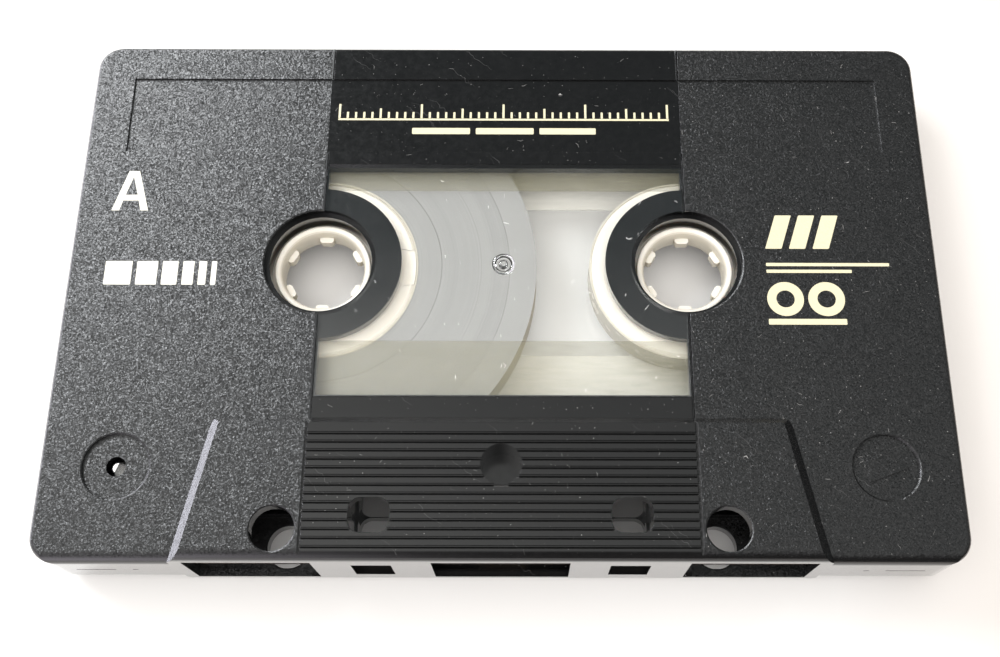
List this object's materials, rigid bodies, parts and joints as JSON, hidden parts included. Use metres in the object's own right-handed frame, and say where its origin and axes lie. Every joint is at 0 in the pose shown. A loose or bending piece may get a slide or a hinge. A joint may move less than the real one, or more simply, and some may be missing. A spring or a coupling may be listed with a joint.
{
  "type": "compact audio cassette",
  "caption": "Compact audio cassette with turning reels, guide rollers and a sprung pressure pad in a two-part shell held by screws.",
  "frame": {"origin": "middle of the outline in plan, on the plane of side B's head-block face", "axes": "+X to the right seen from side A with the tape edge near the viewer, +Y from the tape edge to the back edge, +Z out of side A"},
  "size_m": [0.1004, 0.0638, 0.012],
  "materials": {
    "shell": "near-black moulded polystyrene: fine matt texture on the side panels, gloss on the middle strip and the ridges",
    "window": "clear moulded polystyrene, glossy",
    "slip_sheet": "translucent film with a smooth waxy face",
    "hub": "white acetal, satin",
    "clamp": "white acetal, satin",
    "tape": "dark brown oxide film, fine winding lines on the edge",
    "leader": "pale see-through film",
    "roller": "white acetal, satin",
    "pin": "ground steel",
    "spring": "thin phosphor bronze strip",
    "pad": "dense felt",
    "shield": "dull nickel-iron sheet",
    "screw": "bright zinc-plated steel"
  },
  "bodies": {
    "case": {"shell_a": "shell", "shell_b": "shell", "window_a": "window", "window_b": "window", "slip_sheet_a": "slip_sheet", "slip_sheet_b": "slip_sheet", "tape_run": "tape", "left_roller_pin": "pin", "right_roller_pin": "pin", "pad_spring": "spring", "magnetic_shield": "shield", "case_screws": "screw"},
    "supply_reel": {"supply_hub": "hub", "supply_clamp": "clamp", "supply_leader": "leader", "tape_pack": "tape"},
    "takeup_reel": {"takeup_hub": "hub", "takeup_clamp": "clamp", "takeup_leader": "leader"},
    "left_roller": {"left_guide_roller": "roller"},
    "right_roller": {"right_guide_roller": "roller"},
    "pad": {"pressure_pad": "pad"}
  },
  "joints": [
    {"name": "supply_reel_spin", "type": "hinge", "parent": "case", "child": "supply_reel", "pos_m": [-0.02125, 0.00293, 0.006], "axis": [0, 0, 1], "continuous": true},
    {"name": "takeup_reel_spin", "type": "hinge", "parent": "case", "child": "takeup_reel", "pos_m": [0.02125, 0.00293, 0.006], "axis": [0, 0, 1], "continuous": true},
    {"name": "left_roller_spin", "type": "hinge", "parent": "case", "child": "left_roller", "pos_m": [-0.046, -0.0284, 0.006], "axis": [0, 0, 1], "continuous": true},
    {"name": "right_roller_spin", "type": "hinge", "parent": "case", "child": "right_roller", "pos_m": [0.046, -0.0284, 0.006], "axis": [0, 0, 1], "continuous": true},
    {"name": "pad_press", "type": "slide", "parent": "case", "child": "pad", "axis": [0, 1, 0], "range_m": [0, 0.0008], "stiffness_N_per_m": 200, "springref_m": -0.0003, "deforming": ["pad_spring"]}
  ],
  "couplings": [
    {"joint": "takeup_reel_spin", "follows": "supply_reel_spin", "ratio": 2.2371},
    {"joint": "left_roller_spin", "follows": "supply_reel_spin", "ratio": 10.681},
    {"joint": "right_roller_spin", "follows": "supply_reel_spin", "ratio": 10.681}
  ]
}
